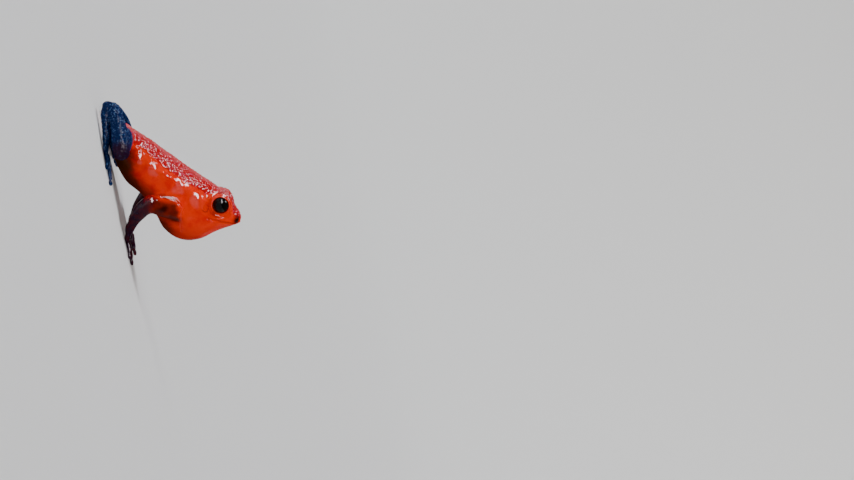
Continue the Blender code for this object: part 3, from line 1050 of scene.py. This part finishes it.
def shade_and_dark_mark_field(points, marks, wander):
    """How black the skin is: painted shade in the mouth and ear grooves and inside the lids, a
    dark patch at each nostril and a spot on each arm.
    """
    distance, _ = off_line(points, marks.mouth)
    found = formed(distance, MOUTH_SHADE)
    for place in marks.nostrils:
        found = np.maximum(found, 1 - edged(off_place(points, place), wander, NOSTRIL_EDGE))
    for side in (1, -1):
        height, radius, _, _ = round_eye(points, side)
        found = np.maximum(found, (height > 0) * (1 - eased(radius, *LID_SHADE)))
    for place in marks.ears:
        groove = formed(off_place(points, place), EAR_SHADE)
        found = np.maximum(found, groove * ahead_of(points, place))
    for place in marks.spots:
        away = off_place(points, place, ARM_SPOT_SIZE)
        found = np.maximum(found, ARM_SPOT_SHADE * (1 - edged(away, wander, ARM_SPOT_EDGE)))
    return found


def wet_field(points, normals, marks, found, above, wander):
    """How much the film of water on the skin shines."""
    rear = eased(-normals[:, 0], *WET_ARM_REAR)
    wet = np.maximum(WET_BACK * found["back"], WET_ARM * found["arm"] * rear)
    for place, reach, _ in marks.swellings:
        wet = np.maximum(wet, 1 - eased(off_place(points, place, reach), *WET_SWELLING))
    for line in marks.ridges + marks.edges + marks.folds:
        distance, _ = off_line(points, line)
        wet = np.maximum(wet, formed(distance, WET_LINE))
    beyond = off_place(folded(points), BROW_PLACE) - BROW_RADIUS
    wet = np.maximum(wet, WET_BROW * above * (1 - eased(beyond, 0, WET_BROW_MARGIN)))
    return np.clip(wet + WET_WANDER * wander * (wet > DRY), 0, 1)


def colour_fields(points, normals, nearest, marks):
    """Where the skin has which colour, painted shade and gloss, from 0 to 1 at each point."""
    wander = sum(height * unevenness(points, size) for height, size in WANDER)
    leg, hand, arm, bare = limb_fields(points, normals, nearest, wander)
    over_brow = over_mouth(points) - BROW_LINE_SLOPE * np.abs(points[:, 1])
    above = eased(over_brow, *BROW_LINE)
    back = bare * above * edged(backness(normals), wander, BACK_EDGE)
    found = {"leg": leg, "hand": hand, "arm": arm, "back": back}
    # Painted shade of the underside, which faces away from the light; the same mask thins the
    # coat there.
    found["under"] = eased(0.6 * normals[:, 0] - 0.8 * normals[:, 2], *UNDERSIDE_SHADE_EDGE)
    found["knee"] = knee_field(points, wander)
    found["painted_shade"] = painted_shade_field(points, wander)
    found["shade_and_dark_marks"] = shade_and_dark_mark_field(points, marks, wander)
    found["wet"] = wet_field(points, normals, marks, found, above, wander)
    return found


def detailed(skin, trees, marks):
    """Raises the small forms and the grain, and keeps the colour fields."""
    mesh = skin.data
    points = vertex_rows(mesh, "co")
    normals = vertex_rows(mesh, "normal")
    _, _, nearest = field(points, trees)
    fields = colour_fields(points, normals, nearest, marks)
    off_floor = eased(points[:, 2], *FLOOR_FADE)
    rough = off_floor * eased(off_lids(points), *LID_FADE)
    on_leg = fields["leg"] > 0.5
    grain = np.where(on_leg, granules(points, LEG_GRAIN), granules(points, BODY_GRAIN))
    fields["grain"] = grain
    height = np.maximum(BACK_GRAIN_HEIGHT * fields["back"], LEG_GRAIN_HEIGHT * fields["leg"])
    raised = relief(points, normals, marks) + wrinkled(points)
    raised += rough * np.maximum(height, LEAST_HEIGHT) * (grain - 0.5)
    raised += rough * UNEVEN_HEIGHT * unevenness(points, UNEVEN_SIZE)
    points += normals * (raised * off_floor)[:, None]
    pit = (off_place(folded(points), ARMPIT) < ARMPIT_REACH) & (off_floor == 1)
    move_vertices(mesh, relaxed(mesh, points, ARMPIT_ROUNDS, pit))
    store(mesh, fields)


def make_skin():
    """The one skin of the frog."""
    forms = flesh()
    trees = []
    for form, blend, kind in forms:
        co = vertex_rows(form.data, "co")
        trees.append((tree_of(form), blend, co.min(0), co.max(0), kind))
    skin = fused(forms, trees)
    for form, _, _ in forms:
        bpy.data.objects.remove(form)
    fitted(skin, trees, 3)
    bpy.context.view_layer.update()
    marks = Marks(tree_of(skin))
    for level in (1, 2):
        refine(skin, marks, level)
    fitted(skin, trees, 2)
    detailed(skin, trees, marks)
    skin.data.shade_smooth()
    to_row_frame(skin)
    return skin


def make_eyes():
    """Both eyeballs, each in place of its solid."""
    for side, word in ((1, "left"), (-1, "right")):
        place = mirrored(EYE_PLACE, side)
        eye = ball("eyeball_" + word, place, EYE_RADIUS, axis=mirrored(EYE_AXIS, side), rings=64)
        _, radius, _, out = round_eye(vertex_rows(eye.data, "co"), side)
        oval = radius * np.hypot(out[:, 0] / PUPIL_WIDTH, np.hypot(out[:, 1], out[:, 2]))
        store(eye.data, {"pupil": 1 - eased(oval, *PUPIL), "iris": 1 - eased(radius, *IRIS)})
        eye.data.shade_smooth()
        to_row_frame(eye)
        eye.data.materials.append(eye_material("eye_" + word))
        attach(eye, "root")
        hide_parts("eye_" + word)


def eye_material(name):
    """Wet black, with a wide pupil in a scarcely paler iris of bronze flecks."""
    nodes = Nodes(name)
    fleck = nodes.ramp(nodes.noise(0.12, detail=5), 0.45, 0.75)
    iris = nodes.mix(fleck, EYE_BROWN, EYE_BRONZE)
    colour = nodes.mix(nodes.stored("iris"), EYE_BLACK, iris)
    colour = nodes.mix(nodes.stored("pupil"), colour, EYE_BLACK)
    return nodes.finished({"Base Color": colour, "Roughness": 0.04, "Specular IOR Level": 0.12})


def make_camera():
    """The camera of the photo's framing."""
    azimuth, elevation, roll = map(math.radians, CAMERA_TURNS)
    level = math.cos(elevation)
    back = Vector((math.sin(azimuth) * level, -math.cos(azimuth) * level, math.sin(elevation)))
    side = Vector((math.cos(azimuth), math.sin(azimuth), 0))
    rise = back.cross(side)
    right = side * math.cos(roll) + rise * math.sin(roll)
    up = rise * math.cos(roll) - side * math.sin(roll)
    away = PICTURE_WIDTH / PIXELS_PER_MM * LENS / SENSOR
    place = side * CAMERA_TARGET[0] + rise * CAMERA_TARGET[1] + back * away - Vector(CENTRE)
    data = bpy.data.cameras.new("camera")
    data.lens = LENS
    data.sensor_width = SENSOR
    data.clip_start, data.clip_end = CLIP
    camera = linked("camera", data)
    matrix = Matrix((right, up, back)).transposed().to_4x4()
    matrix.translation = place * MM
    camera.matrix_world = matrix
    bpy.context.scene.camera = camera


def make_floor():
    """A wide pale floor that curves up at its far rim."""
    bm = bmesh.new()
    rings = [(radius, 0) for radius in FLOOR_RADII]
    for k in range(1, FLOOR_STEPS + 1):
        angle = k / FLOOR_STEPS * math.pi / 2
        radius = FLOOR_RADII[-1] + FLOOR_CURVE * math.sin(angle)
        rings.append((radius, FLOOR_CURVE * (1 - math.cos(angle))))
    turns = circle(FLOOR_SIDES)
    loops = [[bm.verts.new((r * x, r * y, height)) for x, y in turns] for r, height in rings]
    bm.faces.new(loops[0])
    for one, two in zip(loops, loops[1:]):
        for k in range(FLOOR_SIDES):
            j = (k + 1) % FLOOR_SIDES
            bm.faces.new((one[k], two[k], two[j], one[j]))
    floor = from_bmesh("floor", bm)
    floor.data.shade_smooth()
    values = {"Base Color": FLOOR_GREY, "Roughness": 0.8, "Specular IOR Level": 0.1}
    floor.data.materials.append(Nodes("floor").finished(values))


def make_lights():
    """Soft studio light, mostly from behind and above the frog, as in the photo."""
    for name, source, width, strength, colour, diffuse, glossy in LIGHTS:
        data = bpy.data.lights.new(name, "SUN")
        data.angle = math.radians(width)
        data.energy = strength
        data.color = colour
        lamp = linked(name, data)
        lamp.visible_diffuse = diffuse
        lamp.visible_glossy = glossy
        lamp.rotation_euler = Vector(source).to_track_quat("Z", "Y").to_euler()
    world = bpy.data.worlds.new("studio")
    world.use_nodes = True
    sockets = world.node_tree.nodes["Background"].inputs
    sockets["Color"].default_value = (1, 1, 1, 1)
    sockets["Strength"].default_value = STUDIO_GLOW
    bpy.context.scene.world = world


class Nodes:
    """Short ways to add and link the shader nodes of one material."""

    def __init__(self, name):
        self.material = bpy.data.materials.new(name)
        self.material.use_nodes = True
        self.tree = self.material.node_tree
        self.place = self.add("TexCoord", "Object", {})

    def put(self, sockets, values):
        """Links each value to the socket of its name, or sets it there."""
        for name, value in values.items():
            if isinstance(value, bpy.types.NodeSocket):
                self.tree.links.new(value, sockets[name])
            else:
                sockets[name].default_value = value

    def add(self, kind, output, values, **settings):
        """One output of a new node with these values at its inputs."""
        node = self.tree.nodes.new("ShaderNode" + kind)
        for name, setting in settings.items():
            setattr(node, name, setting)
        self.put(node.inputs, values)
        return node.outputs[output]

    def finished(self, values):
        """The material, with these values at the inputs of its shader."""
        self.put(self.tree.nodes["Principled BSDF"].inputs, values)
        return self.material

    def noise(self, size, detail=3):
        """Smooth noise from 0 to 1 in patches of this size."""
        values = {"Scale": 1 / (size * MM), "Detail": detail, "Roughness": 0.6}
        return self.add("TexNoise", "Fac", {"Vector": self.place, **values})

    def cells(self, size):
        """Distance from the middle of the nearest of many cells of this size."""
        values = {"Vector": self.place, "Scale": 1 / (size * MM)}
        return self.add("TexVoronoi", "Distance", values)

    def ramp(self, value, start, end, low=0.0, high=1.0):
        """The value brought from start..end to low..high, and kept there."""
        values = {"From Min": start, "From Max": end, "To Min": low, "To Max": high}
        values["Value"] = value
        return self.add("MapRange", "Result", values, interpolation_type="SMOOTHSTEP")

    def times(self, one, two):
        """The product of two values."""
        return self.add("Math", 0, {0: one, 1: two}, operation="MULTIPLY")

    def mix(self, share, one, two):
        """One colour turning into another as the share goes from 0 to 1."""
        values = {"Factor": share, "A": one, "B": two}
        return self.add("Mix", "Result", values, data_type="RGBA")

    def stored(self, name):
        """A number kept for each vertex."""
        return self.add("Attribute", "Fac", {}, attribute_name=name)

    def bump(self, height, depth, **before):
        """Fine relief of the height, this deep, over what is before."""
        return self.add("Bump", "Normal", {"Height": height, "Distance": depth * MM, **before})


def red_colour(nodes):
    """Crimson on the back with a painted rosy sheen on its grains, mottled scarlet and orange,
    and painted shade on the underside, the upper arms and the groin, belly, chest and throat.
    """
    mottle = nodes.noise(1.6)
    fleck = nodes.noise(0.35)
    colour = nodes.mix(nodes.ramp(mottle, 0.25, 0.6), SCARLET, ORANGE)
    # Painted shade of the underside, in tawny.
    colour = nodes.mix(nodes.times(nodes.stored("under"), 0.85), colour, SHADE_TAWNY)
    back = nodes.stored("back")
    colour = nodes.mix(nodes.ramp(back, 0.1, 0.8), colour, CRIMSON)
    grains = nodes.ramp(nodes.stored("grain"), 0.45, 0.95)
    # A painted rosy sheen on the tops of the back's grains.
    rosy_sheen = nodes.times(grains, nodes.ramp(nodes.noise(1.1), 0.4, 0.62, 0.1, 0.8))
    colour = nodes.mix(nodes.times(rosy_sheen, back), colour, ROSY_SHEEN)
    colour = nodes.mix(nodes.ramp(fleck, 0.58, 0.8, 0, 0.35), colour, CRIMSON)
    # Painted shade on the upper arm, in mottled rust.
    arm_shade = nodes.times(nodes.stored("arm"), nodes.ramp(mottle, 0.3, 0.7, 1, 0.85))
    colour = nodes.mix(arm_shade, colour, SHADE_RUST)
    # Painted shade of groin, belly, chest, throat and jaw: rust, then olive where deepest.
    painted_shade = nodes.stored("painted_shade")
    colour = nodes.mix(nodes.ramp(painted_shade, 0, 0.7, 0, 0.85), colour, SHADE_RUST)
    return nodes.mix(nodes.ramp(painted_shade, 0.35, 1, 0, 0.9), colour, SHADE_OLIVE)


def leg_colour(nodes):
    """Navy with fine pale blue grains, and plum at the knee."""
    grains = nodes.ramp(nodes.stored("grain"), 0.4, 0.95)
    speck = nodes.times(grains, nodes.ramp(nodes.noise(0.9), 0.38, 0.6, 0.15, 1))
    colour = nodes.mix(speck, NAVY, STEEL)
    return nodes.mix(nodes.times(nodes.stored("knee"), 0.9), colour, PLUM)


def hand_colour(nodes):
    """Maroon and plum in patches, with a few blue grains."""
    patch = nodes.noise(0.8)
    colour = nodes.mix(nodes.ramp(patch, 0.4, 0.65), PLUM, MAROON)
    grains = nodes.ramp(nodes.cells(0.22), 0.06, 0.28, 1, 0)
    speck = nodes.times(grains, nodes.ramp(patch, 0.3, 0.6, 0.45, 0))
    return nodes.mix(speck, colour, STEEL)


def dress_skin(skin):
    """The colours and gloss of the wet skin."""
    nodes = Nodes("skin")
    colour = nodes.mix(nodes.stored("leg"), red_colour(nodes), leg_colour(nodes))
    colour = nodes.mix(nodes.stored("hand"), colour, hand_colour(nodes))
    # Painted shade in the grooves of mouth, ears and lids, and the dark marks, in near black.
    colour = nodes.mix(nodes.stored("shade_and_dark_marks"), colour, SHADE_AND_MARK_BLACK)
    film = nodes.ramp(nodes.stored("wet"), 0, 1, 0.15, 1)
    film = nodes.times(film, nodes.ramp(nodes.stored("under"), 0.3, 1, 1, 0.3))
    film = nodes.times(film, nodes.ramp(nodes.stored("leg"), 0, 1, 1, 0.6))
    values = {0: nodes.stored("back"), 1: nodes.stored("leg")}
    granular = nodes.add("Math", 0, values, operation="MAXIMUM")
    grain = nodes.ramp(nodes.cells(0.15), 0.0, 0.5, 1, 0)
    grain = nodes.times(grain, nodes.ramp(granular, 0, 1, 0.12, 1))
    normal = nodes.bump(grain, 0.025)
    normal = nodes.bump(nodes.noise(0.1), 0.006, Normal=normal)
    wet_flesh = {
        "Base Color": colour,
        "Roughness": nodes.ramp(nodes.noise(0.5), 0.3, 0.7, 0.26, 0.40),
        "Specular IOR Level": 0.0,
        "Coat Weight": film,
        "Coat Roughness": 0.06,
        "Subsurface Weight": 0.1,
        "Subsurface Radius": (1.0, 0.2, 0.08),
        "Subsurface Scale": 0.3 * MM,
        "Normal": normal,
    }
    skin.data.materials.clear()
    skin.data.materials.append(nodes.finished(wet_flesh))
    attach(skin, "root")
    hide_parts(*FLESH)


def main():
    """Builds every piece of the scene."""
    dress_skin(make_skin())
    make_eyes()
    make_floor()
    make_lights()
    make_camera()


main()
